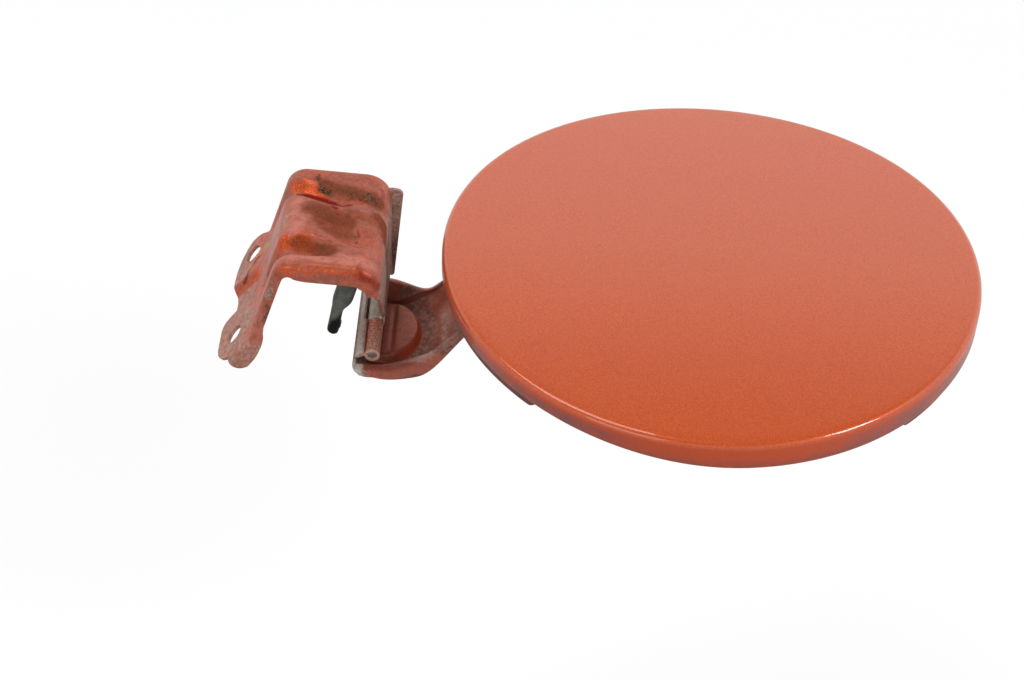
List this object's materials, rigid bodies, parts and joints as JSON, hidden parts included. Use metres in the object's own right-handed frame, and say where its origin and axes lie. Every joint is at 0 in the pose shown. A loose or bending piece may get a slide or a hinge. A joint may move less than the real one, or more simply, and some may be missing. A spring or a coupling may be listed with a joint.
{
  "type": "fuel filler flap",
  "caption": "Round painted fuel filler flap on a stamped hinge arm, with a saddle-shaped hinge bracket that bolts to the car body and a rubber bump stop.",
  "frame": {"origin": "centre of the near mounting hole on the outer face of the bracket's mounting flange", "axes": "+X from the bracket towards the flap, +Y along the hinge pin from the near to the far side, +Z out of the flap's painted face with the flap open as in the picture"},
  "size_m": [0.242, 0.171, 0.0523],
  "materials": {
    "outer_panel": "orange metallic lacquer, glossy, lightly scuffed",
    "inner_panel": "orange-brown paint on a pressed panel, dusty",
    "hinge_arm": "brownish red paint with road dirt in the hollows",
    "bracket": "thin orange paint over primer with dirt and rust at the beads",
    "hinge_pin": "plain steel, dull",
    "bump_stop": "dark grey rubber, black tip",
    "latch_striker": "zinc plated and passivated",
    "striker_rivets": "plain steel",
    "buffer_near": "black rubber",
    "buffer_far": "black rubber"
  },
  "bodies": {
    "bracket_side": {"bracket": "bracket", "bump_stop": "bump_stop"},
    "flap_side": {"outer_panel": "outer_panel", "inner_panel": "inner_panel", "hinge_arm": "hinge_arm", "hinge_pin": "hinge_pin", "latch_striker": "latch_striker", "striker_rivets": "striker_rivets", "buffer_near": "buffer_near", "buffer_far": "buffer_far"}
  },
  "joints": [
    {"name": "flap_hinge", "type": "hinge", "parent": "bracket_side", "child": "flap_side", "pos_m": [0.04455, 0.0156, -0.00429], "axis": [0, 1, 0], "range_deg": [0, 75]}
  ]
}
